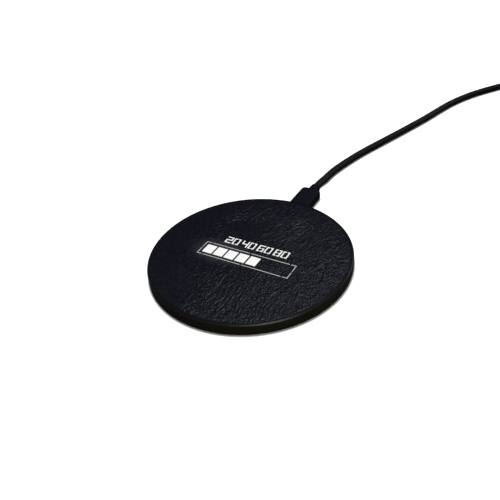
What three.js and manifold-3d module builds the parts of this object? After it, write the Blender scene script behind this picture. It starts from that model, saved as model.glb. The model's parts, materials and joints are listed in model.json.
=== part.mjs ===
// Round wireless charging pad with a leather-covered top, a lit level display and a pull-out charging cable.
// Millimetres. The origin is on the table under the middle of the pad, +Y points to the cable and +Z is up.

import * as THREE from "three";
import { mergeVertices } from "three/addons/utils/BufferGeometryUtils.js";
import Module from "manifold-3d";

const wasm = await Module();
wasm.setup();

// Housing
const PAD_DIAMETER = 100;
const RIM_WALL = 1.4;
const RIM_CHAMFER = 0.6;
const RIM_FOOT_CHAMFER = 0.2;
const RIM_FLANGE = 1.2; // how far the flange that both covers seat on stands in from the wall
const RIM_LIP = 0.05; // height of the rim above the skin
const COVER_THICKNESS = 0.7;
const TOP_PLATE_THICKNESS = 0.85;
const SKIN_THICKNESS = 0.5;
const EDGE_GAP = 0.3; // between the rim and what is set into it
const SKIN_EDGE_GAP = 0.1; // between the rim and the skin, which is trimmed to fit it
const LAYER_GAP = 0.05; // between glued or stacked layers

// Feet and screws
const FOOT_DIAMETER = 10;
const FOOT_STANDOFF = 0.6; // how far the feet stand out below the cover
const FOOT_POCKET = 0.4;
const FOOT_CHAMFER = 0.2;
const FOOT_COUNT = 4;
const BOSS_WALL = 1.2; // material around a foot's pocket
const BOSS_MARGIN = 1.2; // between a boss and the rim's flange
const BOSS_HEIGHT = 1.1; // above the inside of the cover
const SCREW_DIAMETER = 1.9;
const SCREW_HEAD_DIAMETER = 3.5;
const SCREW_HEAD_HEIGHT = 0.7;
const SCREW_CLEARANCE = 0.15; // around the head in its counterbore and the shank in the cover
const THREAD_CLEARANCE = 0.05; // around the shank in its post
const SCREW_END_GAP = 0.3;
const DRIVE_WIDTH = 0.4;
const DRIVE_LENGTH = 2;
const DRIVE_DEPTH = 0.35;
const POST_WALL = 1.2;
const POST_ROOF = 0.2; // material left over a post's hole, under the top plate

// Coil stack, from the bottom cover up
const ADHESIVE_THICKNESS = 0.15; // at least
const FERRITE_THICKNESS = 0.7;
const FERRITE_MARGIN = 1.5; // past the coil
const COIL_OUTER_DIAMETER = 50;
const COIL_INNER_DIAMETER = 20;
const COIL_THICKNESS = 1.1;
const FILM_THICKNESS = 0.1;
const GUIDE_THICKNESS = 1.1;
const LEAD_DIAMETER = 0.7;
const LEAD_X = [-11.3, -9.7];
const LEAD_PAD_LENGTH = 2; // of a lead on the board

// Display: a stencil outline, level blocks and scale numerals
const DISPLAY_X = 0.3;
const BAR_Y = -4.65;
const BAR_WIDTH = 50;
const BAR_HEIGHT = 10;
const BAR_LINE = 0.4;
const BRIDGE = 0.7; // gap in the outline that holds the skin's islands
const BRIDGE_OFFSET = 21.85; // from the bar's middle to its outer bridges
const BLOCK_COUNT = 5;
const BLOCK_WIDTH = 5.28;
const BLOCK_GAP = 0.9;
const BLOCK_MARGIN = 1.5; // between the blocks and the outline
const NUMERALS = ["20", "40", "60", "80"];
const NUMERAL_X = 0.75; // middle of the numerals
const NUMERAL_Y = 3.3; // foot of the numerals
const DIGIT_WIDTH = 3.4;
const DIGIT_HEIGHT = 4.9;
const DIGIT_STROKE = 0.65;
const DIGIT_GAP = 0.7;
const DIGIT_BRIDGE = 0.5;
const NUMBER_GAP = 1.6;
const MARK_CLEARANCE = 0.1; // around each raised mark in its cut-out
const MARK_RECESS = 0.05; // of the marks below the skin's face
const LENS_MARGIN = 1.4; // of the lens past the marks

// Light source at the display's left end
const LED_COUNT = 4;
const LED_PITCH = 4.8;
const LED_DEPTH = 0.9;
const LED_LENGTH = 2.6;
const LED_HEIGHT = 0.8;
const LED_GAP = 0.1; // between a light source and the guide
const LED_BOARD_WIDTH = 2.4;
const LED_TAIL_WIDTH = 2.2;
const LED_TAIL_X = -20; // middle of the tail where it lands on the main board
const LED_TAIL_LANDING = 2.5;

// Main board
const BOARD_THICKNESS = 0.8;
const BOARD_WIDTH = 46;
const BOARD_COIL_GAP = 3; // between the coil and the board's back edge
const BOARD_RIM_GAP = 0.4;
const CHIP_ROW = 3.6; // from the board's back edge to the middle of the parts on it
const CHIPS = [
  { name: "filter_inductor", x: -15.3, width: 4, depth: 4, height: 1.15 },
  { name: "power_stage_chip", x: -6, width: 4, depth: 4, height: 0.9 },
  { name: "controller_chip", x: 0.3, width: 5, depth: 5, height: 0.9 },
  { name: "resonance_capacitor_1", x: 6.2, width: 2.5, depth: 3.2, height: 1.1 },
  { name: "resonance_capacitor_2", x: 9.8, width: 2.5, depth: 3.2, height: 1.1 },
  { name: "resonance_capacitor_3", x: 13.4, width: 2.5, depth: 3.2, height: 1.1 },
  { name: "resonance_capacitor_4", x: 17, width: 2.5, depth: 3.2, height: 1.1 },
];

// Charging port, in the rim
const PORT_X = 1.6;
const PORT_LENGTH = 7.3;
const PORT_WALL = 0.3;
const PORT_SETBACK = 0.4; // of the port's mouth from the rim's outer face
const PORT_COVER_GAP = 0.09; // above and below the port, inside the housing
const PORT_SIDE_GAP = 0.15; // between the port and the board's slot
const PORT_EAR = 1.3; // how far the solder ears reach over the board
const PORT_EAR_LENGTH = 2;
const PORT_ROOT = 1.1; // length of the plastic block behind the tongue
const TONGUE_WIDTH = 6.69;
const TONGUE_THICKNESS = 0.7;
const TONGUE_LENGTH = 4.6;
const SLIDE_CLEARANCE_X = 0.045; // between the plug's shell and the port's, each side
const SLIDE_CLEARANCE_Z = 0.08;

// Plug at the pad
const PLUG_WIDTH = 8.25;
const PLUG_THICKNESS = 2.4;
const PLUG_WALL = 0.3;
const PLUG_REACH = 6.65; // of the shell out of the overmould
const PLUG_HELD = 3; // length of the shell inside the overmould
const PLUG_PAD_GAP = 0.3;
const INSERT_CLEARANCE = 0.06;
const INSERT_SETBACK = 0.1;
const TONGUE_CLEARANCE = 0.1;
const TONGUE_SLOT_EXTRA = 0.6; // of the insert's slot past the tongue's tip
const OVERMOULD_WIDTH = 11.5;
const OVERMOULD_THICKNESS = 5.5;
const OVERMOULD_LENGTH = 16.7;
const OVERMOULD_SHOULDER = 3.8; // length of the rounded rear end
const OVERMOULD_CORNER = 1.5;
const OVERMOULD_EDGE = 1.2;
const RELIEF_LENGTH = 5;
const RELIEF_WALL = 0.75;
const RELIEF_RIBS = 3;
const RELIEF_GROOVE = 0.35;
const JOIN_GAP = 0.3; // between the pieces on the cord

// Cord
const CORD_DIAMETER = 4.1;
const FLOOR_GAP = 0.05;
const CORD_SIDES = 8;
const CORD_Z = CORD_DIAMETER / 2 + FLOOR_GAP;
const COIL_CENTRE_X = 98.7;
const COIL_CENTRE_Y = 250.7;
const COIL_MIDDLE_RADIUS = 22.1;
const COIL_TURNS_WIDE = 3;
const COIL_TURNS_HIGH = 2;
const COIL_EDGE = 1.5;
const TIE_THICKNESS = 0.4;
const TIE_WIDTH = 5;
const TIE_CLEARANCE = 0.35;
const TIE_ANGLE = 235;

// Plug at the far end
const FAR_WIDTH = 12;
const FAR_THICKNESS = 4.5;
const FAR_WALL = 0.3;
const FAR_REACH = 12;
const FAR_HELD = 3;
const FAR_WINDOW = 2.3;
const FAR_WINDOW_X = 2.85;
const FAR_WINDOW_Y = 5.2; // from the tip
const FAR_INSULATOR_THICKNESS = 1.85;
const FAR_INSULATOR_SETBACK = 0.4;
const FAR_CLEARANCE = 0.06;
const FAR_CONTACT_X = [-3.5, -1, 1, 3.5];
const FAR_CONTACT_WIDTH = 1.1;
const FAR_CONTACT_LENGTH = 7;
const FAR_CONTACT_THICKNESS = 0.15;
const FAR_OVERMOULD_WIDTH = 15.6;
const FAR_OVERMOULD_THICKNESS = 7.6;
const FAR_OVERMOULD_LENGTH = 24;
const FAR_OVERMOULD_SHOULDER = 5;
const FAR_RELIEF_LENGTH = 10;
const FAR_RELIEF_RIBS = 4;

const ROUND = 72; // sides of the pad's large circles
const ROUND_SMALL = 24;
const ROUND_TINY = 12;
const ARC_STEPS = 2; // a rounded corner has twice as many sides

// Heights, from the table up
const padRadius = PAD_DIAMETER / 2;
const coverBottom = FOOT_STANDOFF;
const coverTop = coverBottom + COVER_THICKNESS;
const stackHeight =
  ADHESIVE_THICKNESS + FERRITE_THICKNESS + COIL_THICKNESS + FILM_THICKNESS + GUIDE_THICKNESS + 6 * LAYER_GAP;
const portWidth = PLUG_WIDTH + 2 * (SLIDE_CLEARANCE_X + PORT_WALL);
const portThickness = PLUG_THICKNESS + 2 * (SLIDE_CLEARANCE_Z + PORT_WALL);
const portSpaceTop = coverTop + portThickness + 2 * PORT_COVER_GAP;
const topPlateBottom = Math.max(coverTop + stackHeight, portSpaceTop);
const topPlateTop = topPlateBottom + TOP_PLATE_THICKNESS;
const guideTop = topPlateBottom - LAYER_GAP;
const guideBottom = guideTop - GUIDE_THICKNESS;
const filmTop = guideBottom - LAYER_GAP;
const filmBottom = filmTop - FILM_THICKNESS;
const coilTop = filmBottom - LAYER_GAP;
const coilBottom = coilTop - COIL_THICKNESS;
const ferriteTop = coilBottom - LAYER_GAP;
const ferriteBottom = ferriteTop - FERRITE_THICKNESS;
const adhesiveTop = ferriteBottom - LAYER_GAP;
const adhesiveBottom = coverTop + LAYER_GAP; // a thicker pad of adhesive fills what a taller port adds
const skinBottom = topPlateTop + LAYER_GAP;
const skinTop = skinBottom + SKIN_THICKNESS;
const rimTop = skinTop + RIM_LIP;
const boardTop = filmBottom - LAYER_GAP;
const boardBottom = boardTop - BOARD_THICKNESS;
const portZ = (coverTop + topPlateBottom) / 2;

// Radii and places in plan
const wallRadius = padRadius - RIM_WALL;
const flangeRadius = wallRadius - RIM_FLANGE;
const coverRadius = wallRadius - EDGE_GAP;
const skinRadius = wallRadius - SKIN_EDGE_GAP;
const footRadius = FOOT_DIAMETER / 2;
const bossRadius = footRadius + BOSS_WALL;
const footCircle = flangeRadius - BOSS_MARGIN - bossRadius;
const coilRadius = COIL_OUTER_DIAMETER / 2;
const boardBack = coilRadius + BOARD_COIL_GAP;
const portMouth = padRadius - PORT_SETBACK;
const portBack = portMouth - PORT_LENGTH;

// Solids

function solidOf(geometry) {
  const bare = geometry.clone();
  bare.deleteAttribute("normal");
  bare.deleteAttribute("uv");
  const merged = mergeVertices(bare, 1e-4);
  const vertProperties = merged.attributes.position.array;
  const triVerts = new Uint32Array(merged.index.array);
  return new wasm.Manifold(new wasm.Mesh({ numProp: 3, vertProperties, triVerts }));
}

function geometryOf(solid) {
  const { vertProperties, triVerts } = solid.getMesh();
  const geometry = new THREE.BufferGeometry();
  geometry.setAttribute("position", new THREE.BufferAttribute(vertProperties, 3));
  geometry.setIndex(new THREE.BufferAttribute(triVerts, 1));
  const faceted = geometry.toNonIndexed();
  faceted.computeVertexNormals();
  return faceted;
}

// The body joined with each added geometry, less each removed one.
function carve(body, { added = [], removed = [] }) {
  let solid = solidOf(body);
  for (const geometry of added) solid = solid.add(solidOf(geometry));
  for (const geometry of removed) solid = solid.subtract(solidOf(geometry));
  return geometryOf(solid);
}

function common(one, other) {
  return geometryOf(solidOf(one).intersect(solidOf(other)));
}

// A box between two corners.
function block(x0, x1, y0, y1, z0, z1) {
  const box = new THREE.BoxGeometry(x1 - x0, y1 - y0, z1 - z0);
  return box.translate((x0 + x1) / 2, (y0 + y1) / 2, (z0 + z1) / 2);
}

// An upright cylinder.
function disc(radius, z0, z1, sides = ROUND) {
  const cylinder = new THREE.CylinderGeometry(radius, radius, z1 - z0, sides);
  return cylinder.rotateX(Math.PI / 2).translate(0, 0, (z0 + z1) / 2);
}

// A profile of [radius, height] pairs turned about the Y axis.
function turnedAboutY(profile, sides) {
  return new THREE.LatheGeometry(
    profile.map(([radius, height]) => new THREE.Vector2(radius, height)),
    sides,
  );
}

// The same about the Z axis.
function turned(profile, sides) {
  return turnedAboutY(profile, sides).rotateX(Math.PI / 2);
}

function roundedRectangle(width, height, radius) {
  const x = width / 2 - radius;
  const y = height / 2 - radius;
  const shape = new THREE.Shape();
  shape.absarc(x, -y, radius, -Math.PI / 2, 0);
  shape.absarc(x, y, radius, 0, Math.PI / 2);
  shape.absarc(-x, y, radius, Math.PI / 2, Math.PI);
  shape.absarc(-x, -y, radius, Math.PI, Math.PI * 1.5);
  return shape;
}

// A bar with a rounded section, from y0 to y1, about an axis along Y.
function barAlongY(width, thickness, radius, y0, y1) {
  const section = roundedRectangle(width, thickness, radius);
  const bar = new THREE.ExtrudeGeometry(section, {
    depth: y1 - y0,
    curveSegments: ARC_STEPS,
    bevelEnabled: false,
  });
  return bar.rotateX(Math.PI / 2).translate(0, y1, 0);
}

// A tube open at both ends, or a cup where the hollow stops short of an end.
function sleeveAlongY(width, thickness, wall, y0, y1, hollow0, hollow1) {
  const innerWidth = width - 2 * wall;
  const innerThickness = thickness - 2 * wall;
  return carve(barAlongY(width, thickness, thickness / 2, y0, y1), {
    removed: [barAlongY(innerWidth, innerThickness, innerThickness / 2, hollow0, hollow1)],
  });
}

function roundTube(points, diameter, sides, steps) {
  const section = new THREE.Shape().absarc(0, 0, diameter / 2, 0, 2 * Math.PI);
  return new THREE.ExtrudeGeometry(section, {
    steps,
    curveSegments: sides / 2,
    extrudePath: new THREE.CatmullRomCurve3(points),
  });
}

// Finishes and parts

function finish(color, roughness, metalness = 0) {
  return new THREE.MeshStandardMaterial({ color, roughness, metalness });
}

const finishes = {
  anodised: () => finish(0x15130f, 0.35, 0.6),
  leather: () => finish(0x17181d, 0.6),
  plastic: () => finish(0x101012, 0.55),
  moulding: () => finish(0x141519, 0.5),
  rubber: () => finish(0x1c1c1e, 0.85),
  lit: () => finish(0xffffff, 0.3),
  clear: () => finish(0xdfe6ea, 0.15),
  film: () => finish(0xf2f2f2, 0.5),
  steel: () => finish(0xb9bcc0, 0.3, 1),
  copper: () => finish(0xb0683a, 0.4, 1),
  ferrite: () => finish(0x2b2b2e, 0.7),
  adhesive: () => finish(0xd8d2bd, 0.8),
  circuit: () => finish(0x14502f, 0.5),
  chip: () => finish(0x121212, 0.6),
  ceramic: () => finish(0xa5835c, 0.5),
  gold: () => finish(0xc9a24a, 0.3, 1),
};

function part(group, name, geometry, material, at = [0, 0, 0]) {
  const mesh = new THREE.Mesh(geometry, material);
  mesh.name = name;
  mesh.position.set(...at);
  group.add(mesh);
}

// Display marks, as rectangles [x0, x1, y0, y1]

function outlineMarks() {
  const x = BAR_WIDTH / 2;
  const y = BAR_HEIGHT / 2;
  const half = BRIDGE / 2;
  const marks = [];
  for (const side of [-1, 1]) {
    const rows = [side * y, side * (y - BAR_LINE)].sort((a, b) => a - b);
    const ends = [side * x, side * (x - BAR_LINE)].sort((a, b) => a - b);
    marks.push([-x, -BRIDGE_OFFSET - half, ...rows]);
    marks.push([-BRIDGE_OFFSET + half, -half, ...rows]);
    marks.push([half, BRIDGE_OFFSET - half, ...rows]);
    marks.push([BRIDGE_OFFSET + half, x, ...rows]);
    marks.push([...ends, -y, -half]);
    marks.push([...ends, half, y]);
  }
  return marks.map(([x0, x1, y0, y1]) => [x0 + DISPLAY_X, x1 + DISPLAY_X, y0 + BAR_Y, y1 + BAR_Y]);
}

function blockMarks() {
  const left = DISPLAY_X - BAR_WIDTH / 2 + BAR_LINE + BLOCK_MARGIN;
  const reach = BAR_HEIGHT / 2 - BAR_LINE - BLOCK_MARGIN;
  const marks = [];
  for (let i = 0; i < BLOCK_COUNT; i++) {
    const x0 = left + i * (BLOCK_WIDTH + BLOCK_GAP);
    marks.push([x0, x0 + BLOCK_WIDTH, BAR_Y - reach, BAR_Y + reach]);
  }
  return marks;
}

// Strokes of each digit: t, m and b across, and l or r with u or d down the sides.
// A bridged stroke has a gap in its middle.
const DIGITS = {
  0: { strokes: ["t", "b", "lu", "ld", "ru", "rd"], bridged: ["t", "b"] },
  2: { strokes: ["t", "m", "b", "ru", "ld"], bridged: [] },
  4: { strokes: ["m", "lu", "ru", "rd"], bridged: [] },
  6: { strokes: ["t", "m", "b", "lu", "ld", "rd"], bridged: ["m", "b"] },
  8: { strokes: ["t", "m", "b", "lu", "ld", "ru", "rd"], bridged: ["t", "m", "b"] },
};

function digitMarks(digit, x, y) {
  const middle = DIGIT_HEIGHT / 2;
  const half = DIGIT_STROKE / 2;
  const across = { t: DIGIT_HEIGHT - DIGIT_STROKE, m: middle - half, b: 0 };
  const { strokes, bridged } = DIGITS[digit];
  const marks = [];
  for (const stroke of strokes) {
    if (stroke in across) {
      const y0 = across[stroke];
      const y1 = y0 + DIGIT_STROKE;
      if (bridged.includes(stroke)) {
        marks.push([0, (DIGIT_WIDTH - DIGIT_BRIDGE) / 2, y0, y1]);
        marks.push([(DIGIT_WIDTH + DIGIT_BRIDGE) / 2, DIGIT_WIDTH, y0, y1]);
      } else {
        marks.push([0, DIGIT_WIDTH, y0, y1]);
      }
    } else {
      const x0 = stroke[0] === "l" ? 0 : DIGIT_WIDTH - DIGIT_STROKE;
      const [y0, y1] = stroke[1] === "u" ? [middle - half, DIGIT_HEIGHT] : [0, middle + half];
      marks.push([x0, x0 + DIGIT_STROKE, y0, y1]);
    }
  }
  return marks.map(([x0, x1, y0, y1]) => [x0 + x, x1 + x, y0 + y, y1 + y]);
}

function numeralMarks() {
  const digits = NUMERALS.join("").length;
  const inner = digits - NUMERALS.length;
  const width = digits * DIGIT_WIDTH + inner * DIGIT_GAP + (NUMERALS.length - 1) * NUMBER_GAP;
  let x = NUMERAL_X - width / 2;
  const marks = [];
  for (const number of NUMERALS) {
    for (const digit of number) {
      marks.push(...digitMarks(digit, x, NUMERAL_Y));
      x += DIGIT_WIDTH + DIGIT_GAP;
    }
    x += NUMBER_GAP - DIGIT_GAP;
  }
  return marks;
}

const marks = [...outlineMarks(), ...blockMarks(), ...numeralMarks()];
const lens = {
  x0: Math.min(...marks.map((m) => m[0])) - LENS_MARGIN,
  x1: Math.max(...marks.map((m) => m[1])) + LENS_MARGIN,
  y0: Math.min(...marks.map((m) => m[2])) - LENS_MARGIN,
  y1: Math.max(...marks.map((m) => m[3])) + LENS_MARGIN,
};

// Places where a foot, its boss, its screw and its post share an axis
const footPlaces = [];
for (let i = 0; i < FOOT_COUNT; i++) {
  const angle = ((i + 0.5) * 2 * Math.PI) / FOOT_COUNT;
  footPlaces.push([footCircle * Math.cos(angle), footCircle * Math.sin(angle)]);
}

const screwHeadBottom = coverBottom + FOOT_POCKET + LAYER_GAP;
const counterboreTop = screwHeadBottom + SCREW_HEAD_HEIGHT + LAYER_GAP;
const bossTop = coverTop + BOSS_HEIGHT;
const postBottom = bossTop + LAYER_GAP;
const postHoleTop = topPlateBottom - POST_ROOF;
const screwRadius = SCREW_DIAMETER / 2;

const pad = new THREE.Group();

function addHousing() {
  const rimSection = [
    [padRadius - RIM_FOOT_CHAMFER, coverBottom],
    [padRadius, coverBottom + RIM_FOOT_CHAMFER],
    [padRadius, rimTop - RIM_CHAMFER],
    [padRadius - RIM_CHAMFER, rimTop],
    [wallRadius, rimTop],
    [wallRadius, topPlateBottom - LAYER_GAP],
    [flangeRadius, topPlateBottom - LAYER_GAP],
    [flangeRadius, coverTop + LAYER_GAP],
    [wallRadius, coverTop + LAYER_GAP],
    [wallRadius, coverBottom],
    [padRadius - RIM_FOOT_CHAMFER, coverBottom],
  ];
  const mouthWidth = portWidth + 2 * EDGE_GAP;
  const mouthThickness = portThickness + 2 * EDGE_GAP;
  const mouth = barAlongY(
    mouthWidth,
    mouthThickness,
    mouthThickness / 2,
    flangeRadius - 2 * RIM_WALL,
    padRadius + RIM_WALL,
  ).translate(PORT_X, 0, portZ);
  part(pad, "rim_frame", carve(turned(rimSection, ROUND), { removed: [mouth] }), finishes.anodised());

  const posts = footPlaces.map(([x, y]) =>
    disc(screwRadius + POST_WALL, postBottom, topPlateBottom + LAYER_GAP, ROUND_TINY).translate(x, y, 0),
  );
  const postHoles = footPlaces.map(([x, y]) =>
    disc(screwRadius + THREAD_CLEARANCE, postBottom - 1, postHoleTop, ROUND_TINY).translate(x, y, 0),
  );
  const window = block(
    lens.x0 - MARK_CLEARANCE,
    lens.x1 + MARK_CLEARANCE,
    lens.y0 - MARK_CLEARANCE,
    lens.y1 + MARK_CLEARANCE,
    topPlateBottom - 1,
    topPlateTop + 1,
  );
  const topPlate = carve(disc(coverRadius, topPlateBottom, topPlateTop), {
    added: posts,
    removed: [...postHoles, window],
  });
  part(pad, "top_plate", topPlate, finishes.plastic());

  const bosses = footPlaces.map(([x, y]) =>
    disc(bossRadius, coverTop - LAYER_GAP, bossTop, ROUND_SMALL).translate(x, y, 0),
  );
  const counterbore = SCREW_HEAD_DIAMETER / 2 + SCREW_CLEARANCE;
  const pockets = footPlaces.flatMap(([x, y]) => [
    disc(footRadius + LAYER_GAP, coverBottom - 1, coverBottom + FOOT_POCKET, ROUND_SMALL).translate(x, y, 0),
    disc(counterbore, coverBottom, counterboreTop, ROUND_TINY).translate(x, y, 0),
    disc(screwRadius + SCREW_CLEARANCE, coverBottom, bossTop + 1, ROUND_TINY).translate(x, y, 0),
  ]);
  const ribs = [-1, 1].map((side) => {
    const x = (side * BOARD_WIDTH) / 3;
    const y = boardBack + CHIP_ROW;
    return block(x - 1, x + 1, y - 3, y + 3, coverTop - LAYER_GAP, boardBottom - LAYER_GAP);
  });
  const bottomCover = carve(disc(coverRadius, coverBottom, coverTop), {
    added: [...bosses, ...ribs],
    removed: pockets,
  });
  part(pad, "bottom_cover", bottomCover, finishes.plastic());
}

function addDisplay() {
  const cutOuts = marks.map(([x0, x1, y0, y1]) =>
    block(
      x0 - MARK_CLEARANCE,
      x1 + MARK_CLEARANCE,
      y0 - MARK_CLEARANCE,
      y1 + MARK_CLEARANCE,
      skinBottom - 1,
      skinTop + 1,
    ),
  );
  const skin = carve(disc(skinRadius, skinBottom, skinTop), { removed: cutOuts });
  part(pad, "leather_cover", skin, finishes.leather());

  const raised = marks.map(([x0, x1, y0, y1]) =>
    block(x0, x1, y0, y1, topPlateTop - TOP_PLATE_THICKNESS / 2, skinTop - MARK_RECESS),
  );
  const lensPlate = block(lens.x0, lens.x1, lens.y0, lens.y1, topPlateBottom, topPlateTop);
  part(pad, "display_lens", carve(lensPlate, { added: raised }), finishes.lit());

  part(
    pad,
    "light_guide",
    block(lens.x0, lens.x1, lens.y0, lens.y1, guideBottom, guideTop),
    finishes.clear(),
  );
  part(
    pad,
    "reflector_film",
    block(lens.x0, lens.x1, lens.y0, lens.y1, filmBottom, filmTop),
    finishes.film(),
  );

  const ledRight = lens.x0 - LED_GAP;
  const middle = (lens.y0 + lens.y1) / 2;
  const boardLeft = ledRight - LED_BOARD_WIDTH;
  const tailStart = lens.y1 + LED_GAP;
  const tailEnd = boardBack + LED_TAIL_LANDING;
  const tail = new THREE.Shape([
    new THREE.Vector2(ledRight, lens.y0),
    new THREE.Vector2(ledRight, tailStart),
    new THREE.Vector2(LED_TAIL_X + LED_TAIL_WIDTH / 2, boardBack),
    new THREE.Vector2(LED_TAIL_X + LED_TAIL_WIDTH / 2, tailEnd),
    new THREE.Vector2(LED_TAIL_X - LED_TAIL_WIDTH / 2, tailEnd),
    new THREE.Vector2(LED_TAIL_X - LED_TAIL_WIDTH / 2, boardBack),
    new THREE.Vector2(boardLeft, tailStart),
    new THREE.Vector2(boardLeft, lens.y0),
  ]);
  const flex = new THREE.ExtrudeGeometry(tail, { depth: FILM_THICKNESS, bevelEnabled: false });
  part(pad, "led_board", flex.translate(0, 0, filmBottom), finishes.circuit());
  for (let i = 0; i < LED_COUNT; i++) {
    const y = middle + (i - (LED_COUNT - 1) / 2) * LED_PITCH;
    const led = block(
      ledRight - LED_DEPTH,
      ledRight,
      y - LED_LENGTH / 2,
      y + LED_LENGTH / 2,
      guideBottom,
      guideBottom + LED_HEIGHT,
    );
    part(pad, `led_${i + 1}`, led, finishes.film());
  }
}

function addFeetAndScrews() {
  const foot = turned(
    [
      [0, 0],
      [footRadius - FOOT_CHAMFER, 0],
      [footRadius, FOOT_CHAMFER],
      [footRadius, coverBottom + FOOT_POCKET - LAYER_GAP],
      [0, coverBottom + FOOT_POCKET - LAYER_GAP],
    ],
    ROUND_SMALL,
  );
  const headTop = screwHeadBottom + SCREW_HEAD_HEIGHT;
  const tip = postHoleTop - SCREW_END_GAP;
  const blank = turned(
    [
      [0, screwHeadBottom],
      [SCREW_HEAD_DIAMETER / 2, screwHeadBottom],
      [SCREW_HEAD_DIAMETER / 2, headTop - SCREW_CLEARANCE],
      [screwRadius, headTop],
      [screwRadius, tip - screwRadius / 2],
      [screwRadius / 2, tip],
      [0, tip],
    ],
    ROUND_TINY,
  );
  const driveTop = screwHeadBottom + DRIVE_DEPTH;
  const [long, narrow] = [DRIVE_LENGTH / 2, DRIVE_WIDTH / 2];
  const screw = carve(blank, {
    removed: [
      block(-long, long, -narrow, narrow, screwHeadBottom - 1, driveTop),
      block(-narrow, narrow, -long, long, screwHeadBottom - 1, driveTop),
    ],
  });
  footPlaces.forEach(([x, y], i) => {
    part(pad, `foot_${i + 1}`, foot, finishes.rubber(), [x, y, 0]);
    part(pad, `cover_screw_${i + 1}`, screw, finishes.steel(), [x, y, 0]);
  });
}

// A flat ring about the Z axis.
function flatRing(inner, outer, z0, z1, sides) {
  return turned([[inner, z0], [outer, z0], [outer, z1], [inner, z1], [inner, z0]], sides);
}

function addCoil() {
  const inner = COIL_INNER_DIAMETER / 2;
  const ferriteRadius = coilRadius + FERRITE_MARGIN;
  const sides = 2 * ROUND_SMALL;
  part(
    pad,
    "coil_adhesive",
    flatRing(inner, coilRadius, adhesiveBottom, adhesiveTop, sides),
    finishes.adhesive(),
  );
  part(pad, "ferrite_shield", disc(ferriteRadius, ferriteBottom, ferriteTop, sides), finishes.ferrite());
  part(pad, "transmitter_coil", flatRing(inner, coilRadius, coilBottom, coilTop, sides), finishes.copper());

  const middle = (coilBottom + coilTop) / 2;
  const onBoard = boardTop + LAYER_GAP + LEAD_DIAMETER / 2;
  LEAD_X.forEach((x, i) => {
    const start = Math.sqrt(coilRadius ** 2 - x ** 2) + LEAD_DIAMETER / 2;
    const end = boardBack + LEAD_PAD_LENGTH;
    const route = [
      new THREE.Vector3(x, start, middle),
      new THREE.Vector3(x, (2 * start + boardBack) / 3, middle),
      new THREE.Vector3(x, boardBack - LEAD_DIAMETER, onBoard),
      new THREE.Vector3(x, end, onBoard),
    ];
    part(pad, `coil_lead_${i + 1}`, roundTube(route, LEAD_DIAMETER, 8, 10), finishes.copper());
  });
}

function addBoard() {
  const half = BOARD_WIDTH / 2;
  const front = padRadius;
  const boardRadius = flangeRadius - BOARD_RIM_GAP;
  const rectangle = block(-half, half, boardBack, front, boardBottom, boardTop);
  const outline = common(rectangle, disc(boardRadius, boardBottom - 1, boardTop + 1));
  const slotHalf = portWidth / 2 + PORT_SIDE_GAP;
  const slot = block(
    PORT_X - slotHalf,
    PORT_X + slotHalf,
    portBack - PORT_SIDE_GAP,
    front + 1,
    boardBottom - 1,
    boardTop + 1,
  );
  part(pad, "main_board", carve(outline, { removed: [slot] }), finishes.circuit());

  const base = boardTop + LAYER_GAP;
  for (const { name, x, width, depth, height } of CHIPS) {
    const y = boardBack + CHIP_ROW;
    const body = block(x - width / 2, x + width / 2, y - depth / 2, y + depth / 2, base, base + height);
    const isCapacitor = name.startsWith("resonance");
    part(pad, name, body, isCapacitor ? finishes.ceramic() : finishes.chip());
  }
}

function addPort() {
  const port = new THREE.Group();
  port.position.set(PORT_X, portMouth, portZ);
  pad.add(port);
  const earBottom = boardTop + LAYER_GAP - portZ;
  const earReach = portWidth / 2 + PORT_EAR;
  const earBack = -PORT_LENGTH + 1;
  const earFront = earBack + PORT_EAR_LENGTH;
  const ears = block(-earReach, earReach, earBack, earFront, earBottom, earBottom + PORT_WALL);
  const innerWidth = portWidth - 2 * PORT_WALL;
  const innerThickness = portThickness - 2 * PORT_WALL;
  const hollow = barAlongY(innerWidth, innerThickness, innerThickness / 2, -PORT_LENGTH - 1, 1);
  const shell = carve(barAlongY(portWidth, portThickness, portThickness / 2, -PORT_LENGTH, 0), {
    added: [ears],
    removed: [hollow],
  });
  part(port, "port_shell", shell, finishes.steel());

  const rootWidth = innerWidth - 2 * INSERT_CLEARANCE;
  const rootThickness = innerThickness - 2 * INSERT_CLEARANCE;
  const rootEnd = -PORT_LENGTH + PORT_ROOT;
  const root = barAlongY(rootWidth, rootThickness, rootThickness / 2, -PORT_LENGTH, rootEnd);
  const [w, t] = [TONGUE_WIDTH / 2, TONGUE_THICKNESS / 2];
  const tongue = block(-w, w, -PORT_LENGTH + PORT_ROOT / 2, rootEnd + TONGUE_LENGTH, -t, t);
  part(port, "port_tongue", carve(root, { added: [tongue] }), finishes.chip());
}

// A moulded grip seen from above: square front, rounded shoulders down to a neck at the rear.
function gripOutline(width, length, shoulder, neck, corner) {
  const w = width / 2;
  const shape = new THREE.Shape();
  shape.absarc(w - corner, corner, corner, -Math.PI / 2, 0);
  shape.lineTo(w, length - shoulder);
  shape.bezierCurveTo(w, length - shoulder / 3, neck + shoulder / 2, length, neck, length);
  shape.lineTo(-neck, length);
  shape.bezierCurveTo(-neck - shoulder / 2, length, -w, length - shoulder / 3, -w, length - shoulder);
  shape.absarc(-w + corner, corner, corner, Math.PI, Math.PI * 1.5);
  return shape;
}

// The grip as a solid with softened edges, its front face at y = 0 and its middle at z = 0.
function grip(outline, thickness, edge) {
  const body = new THREE.ExtrudeGeometry(outline, {
    depth: thickness - 2 * edge,
    curveSegments: ARC_STEPS,
    bevelThickness: edge,
    bevelSize: edge,
    bevelOffset: -edge,
    bevelSegments: 2,
  });
  return body.translate(0, 0, edge - thickness / 2);
}

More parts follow.
